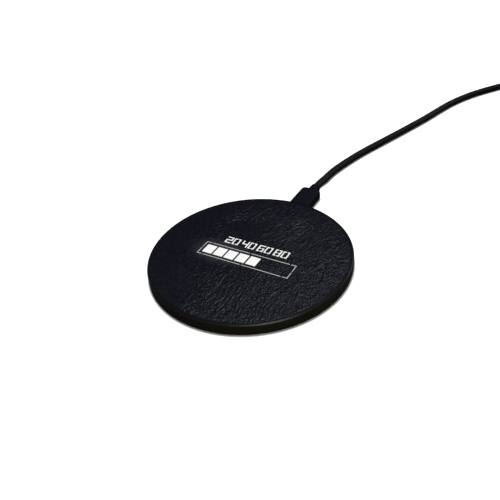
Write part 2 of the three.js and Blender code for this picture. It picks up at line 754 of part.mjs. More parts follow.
// A ribbed, tapered sleeve along Y that stiffens the cord behind a grip.
function relief(length, ribs) {
  const thin = CORD_DIAMETER / 2 + RELIEF_WALL / 2;
  const thick = CORD_DIAMETER / 2 + RELIEF_WALL;
  const pitch = length / ribs;
  const profile = [[0, 0]];
  for (let i = 0; i < ribs; i++) {
    const radius = thick + ((thin - thick) * i) / ribs;
    const y = i * pitch;
    profile.push([radius, y]);
    profile.push([radius, y + pitch * 0.55]);
    profile.push([radius - RELIEF_GROOVE, y + pitch * 0.65]);
    profile.push([radius - RELIEF_GROOVE, y + pitch * 0.95]);
  }
  profile.push([thin - RELIEF_GROOVE, length]);
  profile.push([0, length]);
  return turnedAboutY(profile, ROUND_TINY);
}

function addPadPlug() {
  const plug = new THREE.Group();
  plug.position.set(PORT_X, padRadius + PLUG_PAD_GAP, portZ);
  cable.add(plug);

  const neck = CORD_DIAMETER / 2 + RELIEF_WALL;
  const outline = gripOutline(
    OVERMOULD_WIDTH,
    OVERMOULD_LENGTH,
    OVERMOULD_SHOULDER,
    neck,
    OVERMOULD_CORNER,
  );
  const pocketWidth = PLUG_WIDTH + 2 * LAYER_GAP;
  const pocketThickness = PLUG_THICKNESS + 2 * LAYER_GAP;
  const pocket = barAlongY(pocketWidth, pocketThickness, pocketThickness / 2, -1, PLUG_HELD + LAYER_GAP);
  const overmould = carve(grip(outline, OVERMOULD_THICKNESS, OVERMOULD_EDGE), { removed: [pocket] });
  part(plug, "plug_overmould", overmould, finishes.moulding());

  const tip = -PLUG_REACH;
  const shell = sleeveAlongY(
    PLUG_WIDTH,
    PLUG_THICKNESS,
    PLUG_WALL,
    tip,
    PLUG_HELD,
    tip - 1,
    PLUG_HELD + 1,
  );
  part(plug, "plug_shell", shell, finishes.steel());

  const insertWidth = PLUG_WIDTH - 2 * (PLUG_WALL + INSERT_CLEARANCE);
  const insertThickness = PLUG_THICKNESS - 2 * (PLUG_WALL + INSERT_CLEARANCE);
  const insertTip = tip + INSERT_SETBACK;
  const tongueTip = PORT_ROOT + TONGUE_LENGTH - PORT_LENGTH - PORT_SETBACK - PLUG_PAD_GAP;
  const [w, t] = [TONGUE_WIDTH / 2 + TONGUE_CLEARANCE, TONGUE_THICKNESS / 2 + TONGUE_CLEARANCE];
  const insert = carve(barAlongY(insertWidth, insertThickness, insertThickness / 2, insertTip, PLUG_HELD), {
    removed: [block(-w, w, insertTip - 1, tongueTip + TONGUE_SLOT_EXTRA, -t, t)],
  });
  part(plug, "plug_insert", insert, finishes.chip());

  part(
    plug,
    "plug_strain_relief",
    relief(RELIEF_LENGTH, RELIEF_RIBS),
    finishes.moulding(),
    [0, OVERMOULD_LENGTH + JOIN_GAP, 0],
  );
}

// The cord's route along the table, from the pad's plug to the coil.
const cordRoute = [
  [1.6, 72.6, portZ],
  [1.6, 75, portZ],
  [1.65, 77.5, 2.95],
  [1.8, 80.5, 2.75],
  [1.95, 84, 2.4],
  [2.05, 88, CORD_Z + 0.05],
  [2.8, 95, CORD_Z],
  [5, 105, CORD_Z],
  [9.2, 120, CORD_Z],
  [16.4, 140, CORD_Z],
  [23.7, 160, CORD_Z],
  [30.7, 180, CORD_Z],
  [36.2, 198, CORD_Z],
  [40.1, 209.7, CORD_Z],
  [45.2, 221, CORD_Z],
  [51.3, 231.7, CORD_Z],
  [58.5, 241.8, CORD_Z],
  [63.4, 248.1, CORD_Z],
  [68.3, 254.3, CORD_Z],
];

// From the coil's last quarter turn, beside its outer turn, to the far plug.
const tailRoute = [
  [114, 277.2, CORD_Z],
  [120.3, 272.3, CORD_Z],
  [125.2, 266, CORD_Z],
  [128.3, 258.6, CORD_Z],
  [129.3, 250.7, CORD_Z + 0.2],
  [129.3, 246, CORD_Z + 0.8],
  [129.3, 241.5, CORD_Z + 1.5],
  [129.3, 237.3, FAR_OVERMOULD_THICKNESS / 2 + FLOOR_GAP],
];

function addCord() {
  const along = (route) => route.map((point) => new THREE.Vector3(...point));
  part(cable, "cord", roundTube(along(cordRoute), CORD_DIAMETER, CORD_SIDES, 34), finishes.moulding());
  part(cable, "cord_tail", roundTube(along(tailRoute), CORD_DIAMETER, CORD_SIDES, 12), finishes.moulding());

  const coil = new THREE.Group();
  coil.position.set(COIL_CENTRE_X, COIL_CENTRE_Y, 0);
  cable.add(coil);
  const reach = (COIL_TURNS_WIDE * CORD_DIAMETER) / 2;
  const inner = COIL_MIDDLE_RADIUS - reach;
  const outer = COIL_MIDDLE_RADIUS + reach;
  const bottom = FLOOR_GAP + TIE_THICKNESS + LAYER_GAP;
  const nestedRise = (CORD_DIAMETER * Math.sqrt(3)) / 2;
  const top = bottom + CORD_DIAMETER + (COIL_TURNS_HIGH - 1) * nestedRise;
  const bundle = turned(
    [
      [inner + COIL_EDGE, bottom],
      [outer - COIL_EDGE, bottom],
      [outer, bottom + COIL_EDGE],
      [outer, top - COIL_EDGE],
      [outer - COIL_EDGE, top],
      [inner + COIL_EDGE, top],
      [inner, top - COIL_EDGE],
      [inner, bottom + COIL_EDGE],
      [inner + COIL_EDGE, bottom],
    ],
    3 * ROUND_TINY,
  );
  part(coil, "cord_coil", bundle, finishes.moulding());

  const tieGroup = new THREE.Group();
  tieGroup.rotation.z = THREE.MathUtils.degToRad(TIE_ANGLE);
  coil.add(tieGroup);
  const spaceWidth = 2 * (reach + TIE_CLEARANCE);
  const spaceHeight = top + TIE_CLEARANCE - (bottom - LAYER_GAP);
  const loop = roundedRectangle(spaceWidth + 2 * TIE_THICKNESS, spaceHeight + 2 * TIE_THICKNESS, COIL_EDGE);
  loop.holes.push(roundedRectangle(spaceWidth, spaceHeight, COIL_EDGE - TIE_THICKNESS));
  const strap = new THREE.ExtrudeGeometry(loop, {
    depth: TIE_WIDTH,
    curveSegments: ARC_STEPS,
    bevelEnabled: false,
  });
  strap.rotateX(Math.PI / 2).translate(0, TIE_WIDTH / 2, 0);
  const height = bottom - LAYER_GAP + spaceHeight / 2;
  part(tieGroup, "cable_tie", strap, finishes.rubber(), [COIL_MIDDLE_RADIUS, 0, height]);
}

function addFarPlug() {
  const [x, y, z] = tailRoute[tailRoute.length - 1];
  const plug = new THREE.Group();
  plug.position.set(x, y - JOIN_GAP, z);
  cable.add(plug);
  part(
    plug,
    "far_plug_strain_relief",
    relief(FAR_RELIEF_LENGTH, FAR_RELIEF_RIBS),
    finishes.moulding(),
    [0, -FAR_RELIEF_LENGTH, 0],
  );

  // The grip's front and what comes out of it, with the tip pointing along -Y.
  const front = -FAR_RELIEF_LENGTH - JOIN_GAP - FAR_OVERMOULD_LENGTH;
  const head = new THREE.Group();
  head.position.set(0, front, 0);
  plug.add(head);
  const neck = CORD_DIAMETER / 2 + RELIEF_WALL;
  const outline = gripOutline(
    FAR_OVERMOULD_WIDTH,
    FAR_OVERMOULD_LENGTH,
    FAR_OVERMOULD_SHOULDER,
    neck,
    OVERMOULD_CORNER,
  );
  const held = FAR_HELD + LAYER_GAP;
  const w = FAR_WIDTH / 2;
  const t = FAR_THICKNESS / 2;
  const pocket = block(-w - LAYER_GAP, w + LAYER_GAP, -1, held, -t - LAYER_GAP, t + LAYER_GAP);
  const body = carve(grip(outline, FAR_OVERMOULD_THICKNESS, OVERMOULD_EDGE), { removed: [pocket] });
  part(head, "far_plug_overmould", body, finishes.moulding());

  const [innerX, innerZ] = [w - FAR_WALL, t - FAR_WALL];
  const hollow = block(-innerX, innerX, -FAR_REACH - 1, FAR_HELD + 1, -innerZ, innerZ);
  const windowY = -FAR_REACH + FAR_WINDOW_Y;
  const half = FAR_WINDOW / 2;
  const windows = [-FAR_WINDOW_X, FAR_WINDOW_X].map((side) =>
    block(side - half, side + half, windowY - half, windowY + half, -t - 1, t + 1),
  );
  const shell = carve(block(-w, w, -FAR_REACH, FAR_HELD, -t, t), { removed: [hollow, ...windows] });
  part(head, "far_plug_shell", shell, finishes.steel());

  const floor = -innerZ + FAR_CLEARANCE;
  const inside = innerX - FAR_CLEARANCE;
  const tip = -FAR_REACH + FAR_INSULATOR_SETBACK;
  const insulatorTop = floor + FAR_INSULATOR_THICKNESS;
  part(
    head,
    "far_plug_insulator",
    block(-inside, inside, tip, FAR_HELD, floor, insulatorTop),
    finishes.film(),
  );
  FAR_CONTACT_X.forEach((at, i) => {
    const contact = block(
      at - FAR_CONTACT_WIDTH / 2,
      at + FAR_CONTACT_WIDTH / 2,
      tip + 1,
      tip + 1 + FAR_CONTACT_LENGTH,
      insulatorTop + LAYER_GAP,
      insulatorTop + LAYER_GAP + FAR_CONTACT_THICKNESS,
    );
    part(head, `far_plug_contact_${i + 1}`, contact, finishes.gold());
  });
}

const cable = new THREE.Group();
addHousing();
addDisplay();
addFeetAndScrews();
addCoil();
addBoard();
addPort();
addPadPlug();
addCord();
addFarPlug();

const chargingPad = new THREE.Group();
chargingPad.add(pad, cable);

export default chargingPad;
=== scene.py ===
"""A round wireless charging pad with a leather-covered top, and its cable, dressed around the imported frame.

Metres, +Z up. The pad's middle is at the origin, on the table, and +Y points to the cable.
"""

import json
import math

import bmesh
import bpy
from mathutils import Matrix, Vector, geometry, noise


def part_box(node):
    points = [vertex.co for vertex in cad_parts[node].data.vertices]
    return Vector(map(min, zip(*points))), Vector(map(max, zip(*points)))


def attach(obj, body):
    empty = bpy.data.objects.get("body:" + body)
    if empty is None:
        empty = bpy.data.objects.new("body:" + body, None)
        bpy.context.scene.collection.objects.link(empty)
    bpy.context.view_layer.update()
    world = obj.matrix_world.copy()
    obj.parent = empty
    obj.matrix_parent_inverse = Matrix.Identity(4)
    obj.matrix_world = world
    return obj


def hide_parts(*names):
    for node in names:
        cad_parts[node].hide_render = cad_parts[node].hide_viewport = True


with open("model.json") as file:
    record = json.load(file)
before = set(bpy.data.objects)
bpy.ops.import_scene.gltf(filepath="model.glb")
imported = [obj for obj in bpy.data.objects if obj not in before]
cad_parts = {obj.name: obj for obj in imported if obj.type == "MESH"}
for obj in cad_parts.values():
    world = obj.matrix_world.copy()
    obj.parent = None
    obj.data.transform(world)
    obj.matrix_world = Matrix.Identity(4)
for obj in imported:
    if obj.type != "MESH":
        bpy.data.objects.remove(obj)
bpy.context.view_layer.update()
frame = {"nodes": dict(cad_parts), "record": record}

MM = 0.001
NODES = frame["nodes"]
FINE = 256  # segments round the pad

# Camera
CAMERA_AZIMUTH = math.radians(33.6)
CAMERA_ELEVATION = math.radians(36.6)
CAMERA_ROLL = math.radians(-6.16)
CAMERA_DISTANCE = 303.8 * MM
CAMERA_TARGET = Vector((-5.8, 9.36, 0)) * MM
CAMERA_LENS = 43.27  # millimetres, on a sensor 36 mm wide

# Cord
CORD_DIAMETER = 4.1 * MM
CORD_Z = 2.1 * MM
PORT_X = 1.6 * MM
PORT_Z = 3.025 * MM
FAR_Z = 3.85 * MM
COIL_CENTRE = Vector((98.7, 250.7, 0)) * MM
COIL_Z = 2.55 * MM  # of the turns that lie on the tie
COIL_ENTRY = math.radians(142)
COIL_STEPS = 20  # points on each turn
COIL_TURNS = 5.2
TAIL_RADIUS = 30.6 * MM
# (turns at which a move starts, turns at which it ends, radius after it in millimetres)
COIL_MOVES = [
    (0.8, 1.0, 22.1),
    (1.8, 2.0, 18.0),
    (2.85, 3.0, 20.05),
    (3.75, 3.9, 24.15),
    (4.75, 4.9, 28.25),
    (5.0, 5.15, 30.3),
]
COIL_START_RADIUS = 26.2

# The lit marks
GLOW = "glow"
LINE_GLOW = 0.45  # of the thin outline, against the blocks and numerals


def add_camera():
    back = Vector((
        math.sin(CAMERA_AZIMUTH) * math.cos(CAMERA_ELEVATION),
        -math.cos(CAMERA_AZIMUTH) * math.cos(CAMERA_ELEVATION),
        math.sin(CAMERA_ELEVATION),
    ))
    level = Vector((math.cos(CAMERA_AZIMUTH), math.sin(CAMERA_AZIMUTH), 0))
    upright = back.cross(level)
    right = level * math.cos(CAMERA_ROLL) + upright * math.sin(CAMERA_ROLL)
    up = upright * math.cos(CAMERA_ROLL) - level * math.sin(CAMERA_ROLL)
    camera = bpy.data.objects.new("camera", bpy.data.cameras.new("camera"))
    camera.data.sensor_width = 36
    camera.data.lens = CAMERA_LENS
    camera.data.clip_start = 0.01
    turn = Matrix((right, up, back)).transposed().to_4x4()
    camera.matrix_world = Matrix.Translation(CAMERA_TARGET + back * CAMERA_DISTANCE) @ turn
    bpy.context.scene.collection.objects.link(camera)
    bpy.context.scene.camera = camera


# Shapes: points and faces of each kind of surface


def ease(share):
    share = min(max(share, 0.0), 1.0)
    return share * share * (3 - 2 * share)


def softened(outline, radius, steps=4, closed=True):
    """The outline of 2-D points with its corners rounded. radius is one number, or one for each corner."""
    count = len(outline)
    radii = [radius] * count if isinstance(radius, float) else radius
    soft = []
    for i, corner in enumerate(outline):
        corner = Vector(corner)
        if radii[i] == 0 or (not closed and i in (0, count - 1)):
            soft.append(corner)
            continue
        before = Vector(outline[i - 1]) - corner
        after = Vector(outline[(i + 1) % count]) - corner
        half = before.angle(after) / 2
        reach = min(radii[i] / math.tan(half), before.length * 0.49, after.length * 0.49)
        before.normalize()
        after.normalize()
        start, end = corner + before * reach, corner + after * reach
        for step in range(steps + 1):
            t = step / steps
            soft.append(start * (1 - t) ** 2 + corner * 2 * t * (1 - t) + end * t * t)
    return soft


def turned(profile, segments, closed=True):
    """A profile of (radius, height) points turned about Z. It closes on itself, or starts and ends on the axis."""
    vertices, rings, faces = [], [], []
    for radius, height in profile:
        if radius < 1e-9:
            rings.append([len(vertices)] * segments)
            vertices.append((0, 0, height))
            continue
        rings.append(range(len(vertices), len(vertices) + segments))
        for i in range(segments):
            angle = math.tau * i / segments
            vertices.append((radius * math.cos(angle), radius * math.sin(angle), height))
    pairs = zip(rings, rings[1:] + rings[:1]) if closed else zip(rings, rings[1:])
    for low, high in pairs:
        for i in range(segments):
            j = (i + 1) % segments
            corners = list(dict.fromkeys((low[i], low[j], high[j], high[i])))
            if len(corners) > 2:
                faces.append(corners)
    return vertices, faces


def turned_about_y(profile, segments):
    """The same about the Y axis, with the heights along +Y."""
    vertices, faces = turned(profile, segments, closed=False)
    return [(x, z, y) for x, y, z in vertices], faces


def lofted(rings, ends=True):
    """Rings of as many points each, joined in order, with flat ends or the last ring joined to the first."""
    count = len(rings[0])
    vertices = [point for ring in rings for point in ring]
    faces = []
    last = len(rings) - 1 if ends else len(rings)
    for r in range(last):
        a, b = r * count, (r + 1) % len(rings) * count
        for i in range(count):
            j = (i + 1) % count
            faces.append((a + i, a + j, b + j, b + i))
    if ends:
        faces.append(tuple(range(count)))
        faces.append(tuple(range(last * count, (last + 1) * count)))
    return vertices, faces


def section_xz(width, thickness, corner, y, steps=5):
    """A rounded rectangle across the Y axis."""
    w, t = width / 2, thickness / 2
    corner = min(corner, w * 0.98, t * 0.98)
    outline = []
    for cx, cz, start in ((1, 1, 0), (-1, 1, 90), (-1, -1, 180), (1, -1, 270)):
        for step in range(steps + 1):
            angle = math.radians(start + 90 * step / steps)
            x = cx * (w - corner) + corner * math.cos(angle)
            z = cz * (t - corner) + corner * math.sin(angle)
            outline.append((x, y, z))
    return outline


def tube(points, radius, sides):
    """A closed-ended round tube that follows the points."""
    points = [Vector(p) for p in points]
    rings = []
    side = None
    for i, point in enumerate(points):
        along = (points[min(i + 1, len(points) - 1)] - points[max(i - 1, 0)]).normalized()
        side = along.orthogonal() if side is None else side - along * side.dot(along)
        side.normalize()
        other = along.cross(side)
        angles = [math.tau * k / sides for k in range(sides)]
        rings.append([point + (side * math.cos(a) + other * math.sin(a)) * radius for a in angles])
    return lofted(rings)


def moved(shape, offset, turn=0.0):
    """A shape's points turned about Z and then moved."""
    vertices, faces = shape
    place = Matrix.Translation(offset) @ Matrix.Rotation(turn, 4, "Z")
    return [place @ Vector(v) for v in vertices], faces


def add_piece(name, shape, body, slot, replaces=(), sharp=35):
    """A mesh piece with its slot's look, that rides on a CAD body and stands for the CAD nodes it names."""
    vertices, faces = shape
    mesh = bpy.data.meshes.new(name)
    mesh.from_pydata([tuple(v) for v in vertices], [], [tuple(f) for f in faces])
    bm = bmesh.new()
    bm.from_mesh(mesh)
    bmesh.ops.remove_doubles(bm, verts=bm.verts, dist=1e-7)
    bmesh.ops.recalc_face_normals(bm, faces=bm.faces)
    bm.to_mesh(mesh)
    bm.free()
    mesh.polygons.foreach_set("use_smooth", [True] * len(mesh.polygons))
    mesh.set_sharp_from_angle(angle=math.radians(sharp))
    piece = bpy.data.objects.new(name, mesh)
    bpy.context.scene.collection.objects.link(piece)
    return declare(piece, body, slot, replaces)


def declare(piece, body, slot, replaces):
    piece.data.materials.append(LOOKS[slot])
    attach(piece, body)
    if replaces:
        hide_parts(*replaces)
    return piece


# Looks. Texture sizes are in millimetres: each look's coordinates are the piece's own, scaled to millimetres.


class Look:
    """A Principled material, with helpers for the texture nodes that drive it."""

    def __init__(self, name, roughness=0.5, metallic=0.0, specular=0.5):
        self.material = bpy.data.materials.new(name)
        self.material.use_nodes = True
        self.tree = self.material.node_tree
        self.shader = self.tree.nodes["Principled BSDF"]
        self.shader.inputs["Roughness"].default_value = roughness
        self.shader.inputs["Metallic"].default_value = metallic
        self.shader.inputs["Specular IOR Level"].default_value = specular
        place = self.node("ShaderNodeTexCoord")
        scaled = self.node("ShaderNodeVectorMath", operation="SCALE")
        scaled.inputs["Scale"].default_value = 1 / MM
        self.link(place.outputs["Object"], scaled.inputs[0])
        self.millimetres = scaled.outputs[0]
        self.normal = None

    def node(self, kind, **settings):
        made = self.tree.nodes.new(kind)
        for key, value in settings.items():
            setattr(made, key, value)
        return made

    def link(self, source, target):
        self.tree.links.new(source, target)

    def stretched(self, scale):
        """The coordinates scaled along each axis."""
        made = self.node("ShaderNodeVectorMath", operation="MULTIPLY")
        made.inputs[1].default_value = scale
        self.link(self.millimetres, made.inputs[0])
        return made.outputs[0]

    def noise(self, size, detail=3.0, roughness=0.55, distortion=0.0, at=None):
        """Soft noise from 0 to 1 whose features are about size millimetres."""
        made = self.node("ShaderNodeTexNoise")
        made.inputs["Scale"].default_value = 1 / size
        made.inputs["Detail"].default_value = detail
        made.inputs["Roughness"].default_value = roughness
        made.inputs["Distortion"].default_value = distortion
        self.link(at or self.millimetres, made.inputs["Vector"])
        return made.outputs["Fac"]

    def cells(self, size, feature="F1", randomness=1.0, at=None):
        """Distance to the nearest cell point, for grain."""
        made = self.node("ShaderNodeTexVoronoi", feature=feature)
        made.inputs["Scale"].default_value = 1 / size
        made.inputs["Randomness"].default_value = randomness
        self.link(at or self.millimetres, made.inputs["Vector"])
        return made.outputs["Distance"]

    def ranged(self, source, low, high, start=0.3, end=0.7):
        """source from start to end, spread over low to high."""
        made = self.node("ShaderNodeMapRange", interpolation_type="SMOOTHSTEP")
        made.inputs["From Min"].default_value = start
        made.inputs["From Max"].default_value = end
        made.inputs["To Min"].default_value = low
        made.inputs["To Max"].default_value = high
        self.link(source, made.inputs["Value"])
        return made.outputs["Result"]

    def math(self, operation, first, second):
        made = self.node("ShaderNodeMath", operation=operation)
        for socket, value in zip(made.inputs, (first, second)):
            if isinstance(value, (int, float)):
                socket.default_value = value
            else:
                self.link(value, socket)
        return made.outputs[0]

    def mix(self, share, first, second):
        """Two colours mixed, each a colour or a socket."""
        made = self.node("ShaderNodeMix", data_type="RGBA")
        self.link(share, made.inputs["Factor"])
        for name, value in (("A", first), ("B", second)):
            socket = next(s for s in made.inputs if s.name == name and s.type == "RGBA")
            if isinstance(value, tuple):
                socket.default_value = (*value, 1)
            else:
                self.link(value, socket)
        return next(s for s in made.outputs if s.type == "RGBA")

    def color(self, socket):
        self.link(socket, self.shader.inputs["Base Color"])

    def rough(self, socket):
        self.link(socket, self.shader.inputs["Roughness"])

    def bump(self, height, depth, strength=1.0):
        """Adds relief of depth millimetres to what the surface already has."""
        made = self.node("ShaderNodeBump")
        made.inputs["Distance"].default_value = depth * MM
        made.inputs["Strength"].default_value = strength
        self.link(height, made.inputs["Height"])
        if self.normal is not None:
            self.link(self.normal, made.inputs["Normal"])
        self.normal = made.outputs["Normal"]
        self.link(self.normal, self.shader.inputs["Normal"])


def rim_look():
    """Black anodised aluminium with a warm cast and a brighter, turned chamfer at its top edge. Its flat top face is
    painted near-black: painted shade for the groove between rim and leather.
    """
    look = Look("rim_anodised", metallic=0.6, specular=0.4)
    spots = look.noise(6, detail=4)
    side = look.mix(look.ranged(spots, 0, 1), (0.044, 0.039, 0.021), (0.054, 0.048, 0.027))
    height = look.node("ShaderNodeSeparateXYZ")
    look.link(look.millimetres, height.inputs[0])
    bright = look.mix(look.ranged(height.outputs["Z"], 0, 1, start=5.5, end=5.7), side, (0.045, 0.044, 0.042))
    # Painted shade: the flat top face next to the leather is coloured near-black to stand for the groove's shadow.
    face = look.ranged(height.outputs["Z"], 0, 1, start=6.1, end=6.19)
    look.color(look.mix(face, bright, (0.011, 0.011, 0.013)))
    polish = look.ranged(height.outputs["Z"], 0.16, 0, start=5.4, end=5.7)
    look.rough(look.math("ADD", look.ranged(look.noise(0.8, detail=3), 0.34, 0.44), polish))
    turning = look.noise(1, detail=2, at=look.stretched((0.15, 0.15, 9)))
    look.bump(turning, 0.004)
    look.bump(look.noise(0.12, detail=2), 0.003)
    return look.material


def leather_look():
    """Black crinkled leather: a fine pebble grain with pores over the modelled wrinkles."""
    look = Look("skin_leather", specular=0.35)
    warped = look.node("ShaderNodeVectorMath", operation="ADD")
    drift = look.node("ShaderNodeTexNoise")
    drift.inputs["Scale"].default_value = 0.5
    look.link(look.millimetres, drift.inputs["Vector"])
    look.link(look.millimetres, warped.inputs[0])
    look.link(drift.outputs["Color"], warped.inputs[1])
    pebbles = look.cells(0.75, feature="SMOOTH_F1", at=warped.outputs[0])
    creases = look.cells(1.6, feature="DISTANCE_TO_EDGE", at=warped.outputs[0])
    patches = look.ranged(look.noise(14, detail=3), 0, 1)
    skin = look.mix(patches, (0.0020, 0.0044, 0.0122), (0.0032, 0.0056, 0.0130))
    worn = look.ranged(pebbles, 1, 0, start=0.1, end=0.55)
    look.color(look.mix(worn, skin, (0.0070, 0.0082, 0.0135)))
    look.rough(look.ranged(look.noise(2.2, detail=4), 0.30, 0.42))
    look.bump(look.ranged(creases, 0, 1, start=0.0, end=0.22), 0.035, strength=0.8)
    look.bump(look.ranged(pebbles, 1, 0, start=0.0, end=0.7), 0.05, strength=0.8)
    look.bump(look.noise(0.22, detail=3), 0.012)
    add_light_leak(look)
    return look.material


def add_light_leak(look):
    """The lit blocks' light, seen faintly through the thinned leather round their left end."""
    low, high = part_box("display_lens")
    middle = ((low + high) / 2).to_tuple()
    to_lamp = look.node("ShaderNodeVectorMath", operation="SUBTRACT")
    to_lamp.inputs[1].default_value = ((low.x + 12 * MM) / MM, (middle[1] - 3.6 * MM) / MM, high.z / MM)
    look.link(look.millimetres, to_lamp.inputs[0])
    oval = look.node("ShaderNodeVectorMath", operation="MULTIPLY")
    oval.inputs[1].default_value = (1 / 20, 1 / 11.5, 0)
    look.link(to_lamp.outputs[0], oval.inputs[0])
    reach = look.node("ShaderNodeVectorMath", operation="LENGTH")
    look.link(oval.outputs[0], reach.inputs[0])
    glow = look.ranged(reach.outputs["Value"], 1, 0, start=0.35, end=1.0)
    look.link(look.mix(glow, (0, 0, 0), (0.85, 0.92, 1.0)), look.shader.inputs["Emission Color"])
    look.shader.inputs["Emission Strength"].default_value = 0.02


def lit_look():
    """The display's diffusing lens, lit from behind: even, with a slightly cooler edge to each lamp's pool."""
    look = Look("lit_marks", roughness=0.35)
    pools = look.ranged(look.noise(7, detail=1), 0, 1)
    look.color(look.mix(pools, (0.30, 0.31, 0.32), (0.34, 0.34, 0.34)))
    glow = look.node("ShaderNodeAttribute", attribute_name=GLOW)
    lit = look.mix(pools, (0.98, 0.98, 0.98), (1.0, 0.99, 0.96))
    look.link(look.mix(glow.outputs["Fac"], (0, 0, 0), lit), look.shader.inputs["Emission Color"])
    look.shader.inputs["Emission Strength"].default_value = 0.82
    look.bump(look.noise(0.3, detail=2), 0.004)
    return look.material


def moulded_look(name, dark, light, roughness=(0.42, 0.52), texture=0.18, depth=0.01, specular=0.5):
    """Moulded plastic or rubber: a fine sparked texture, with slight variation in colour and gloss."""
    look = Look(name, specular=specular)
    look.color(look.mix(look.ranged(look.noise(5, detail=4), 0, 1), dark, light))
    look.rough(look.ranged(look.noise(1.5, detail=3), *roughness))
    look.bump(look.noise(texture, detail=3), depth)
    return look.material


def metal_look(name, dark, light, roughness=(0.2, 0.32), grain=(1, 1, 1), depth=0.002):
    """Plated or drawn metal, with its grain stretched along the way it was drawn."""
    look = Look(name, metallic=1.0)
    at = look.stretched(grain)
    look.color(look.mix(look.ranged(look.noise(2.5, detail=4, at=at), 0, 1), dark, light))
    look.rough(look.ranged(look.noise(0.9, detail=4, at=at), *roughness))
    look.bump(look.noise(0.3, detail=2, at=at), depth)
    return look.material


def board_look():
    """Green solder mask over copper, with fine tracks that show as a lighter, raised pattern."""
    look = Look("circuit_board", roughness=0.32)
    tracks = look.node("ShaderNodeTexBrick", offset=0.5, squash=1.0)
    tracks.inputs["Scale"].default_value = 0.55
    tracks.inputs["Mortar Size"].default_value = 0.035
    tracks.inputs["Color1"].default_value = (0, 0, 0, 1)
    tracks.inputs["Color2"].default_value = (0, 0, 0, 1)
    tracks.inputs["Mortar"].default_value = (1, 1, 1, 1)
    look.link(look.millimetres, tracks.inputs["Vector"])
    mask = look.mix(look.ranged(look.noise(8), 0, 1), (0.008, 0.060, 0.028), (0.012, 0.075, 0.035))
    look.color(look.mix(tracks.outputs["Fac"], mask, (0.02, 0.13, 0.06)))
    look.bump(tracks.outputs["Fac"], 0.03)
    return look.material


def clear_look():
    """Clear moulded acrylic."""
    look = Look("clear_plastic")
    look.shader.inputs["Transmission Weight"].default_value = 0.9
    look.shader.inputs["IOR"].default_value = 1.49
    look.color(look.mix(look.ranged(look.noise(9), 0, 1), (0.88, 0.92, 0.94), (0.93, 0.95, 0.96)))
    look.rough(look.ranged(look.noise(2, detail=2), 0.05, 0.12))
    return look.material


LOOKS = {
    "rim": rim_look(),
    "skin_leather": leather_look(),
    "lit_marks": lit_look(),
    "housing_plastic": moulded_look(
        "housing_plastic", (0.008, 0.008, 0.009), (0.012, 0.012, 0.013), (0.5, 0.62), 0.35, 0.03
    ),
    "clear_plastic": clear_look(),
    "white_plastic": moulded_look("white_plastic", (0.78, 0.78, 0.76), (0.86, 0.86, 0.84), (0.35, 0.45)),
    "circuit_board": board_look(),
    "foot_rubber": moulded_look("foot_rubber", (0.015, 0.015, 0.016), (0.022, 0.022, 0.023), (0.6, 0.75), 0.25, 0.02),
    "steel": metal_look("steel", (0.50, 0.51, 0.53), (0.62, 0.63, 0.65), grain=(4, 0.4, 4)),
    "adhesive": moulded_look("adhesive", (0.60, 0.55, 0.42), (0.68, 0.63, 0.50), (0.6, 0.8), 0.5, 0.02),
    "ferrite": moulded_look("ferrite", (0.024, 0.024, 0.028), (0.036, 0.036, 0.040), (0.55, 0.7), 0.12, 0.01),
    "copper": metal_look("copper_wire", (0.42, 0.14, 0.06), (0.60, 0.23, 0.10), (0.22, 0.34)),
    "chip_black": moulded_look("chip_black", (0.010, 0.010, 0.011), (0.015, 0.015, 0.016), (0.5, 0.6), 0.1, 0.006),
    "capacitor_ceramic": moulded_look("capacitor_ceramic", (0.32, 0.20, 0.10), (0.40, 0.27, 0.14), (0.35, 0.5)),
    "plug_moulding": moulded_look(
        "plug_moulding", (0.0040, 0.0065, 0.0145), (0.0052, 0.0078, 0.0165), (0.60, 0.68), 0.16, 0.006, 0.16
    ),
    "cord_jacket": moulded_look(
        "cord_jacket", (0.0080, 0.0086, 0.0125), (0.0100, 0.0106, 0.0145), (0.54, 0.62), 0.2, 0.005, 0.3
    ),
    "tie_strap": moulded_look("tie_strap", (0.014, 0.014, 0.016), (0.024, 0.024, 0.026), (0.75, 0.9), 0.14, 0.06),
    "gold_contact": metal_look("gold_contact", (0.78, 0.55, 0.20), (0.88, 0.65, 0.26), (0.18, 0.28)),
}


def dress_nodes():
    """Gives every CAD node that stays its slot's look."""
    for part in frame["record"]["subparts"]:
        mesh = NODES[part["node"]].data
        mesh.materials.clear()
        mesh.materials.append(LOOKS[part["material_slot"]])


# The cord: along the table from the pad's plug, into a tied coil, and out to the far plug

CORD_ROUTE = [
    (0.0016, 0.0726, PORT_Z),
    (0.0016, 0.0750, PORT_Z),
    (0.00165, 0.0775, 0.00295),
    (0.0018, 0.0805, 0.00275),
    (0.00195, 0.0840, 0.0024),
    (0.00205, 0.0880, 0.00215),
    (0.0028, 0.0950, CORD_Z),
    (0.0050, 0.1050, CORD_Z),
    (0.0092, 0.1200, CORD_Z),
    (0.0164, 0.1400, CORD_Z),
    (0.0237, 0.1600, CORD_Z),
    (0.0307, 0.1800, CORD_Z),
    (0.0362, 0.1980, CORD_Z),
    (0.0401, 0.2097, CORD_Z),
    (0.0452, 0.2210, CORD_Z),
    (0.0513, 0.2317, CORD_Z),
    (0.0585, 0.2418, CORD_Z),
    (0.0634, 0.2481, CORD_Z),
    (0.0683, 0.2543, CORD_Z),
]
TAIL_ROUTE = [
    (0.1140, 0.2772, CORD_Z),
    (0.1203, 0.2723, CORD_Z),
    (0.1252, 0.2660, CORD_Z),
    (0.1283, 0.2586, CORD_Z),
    (0.1293, 0.2507, 0.0023),
    (0.1293, 0.2460, 0.0029),
    (0.1293, 0.2415, 0.0036),
    (0.1293, 0.2373, FAR_Z),
]


def coil_radius(turns):
    """The radius at so many turns after the entry. Before it, the cord comes in along the tangent."""
    radius = COIL_START_RADIUS * MM
    if turns < 0:
        return radius / math.cos(-turns * math.tau)
    for start, end, after in COIL_MOVES:
        radius += (after * MM - radius) * ease((turns - start) / (end - start))
    return radius


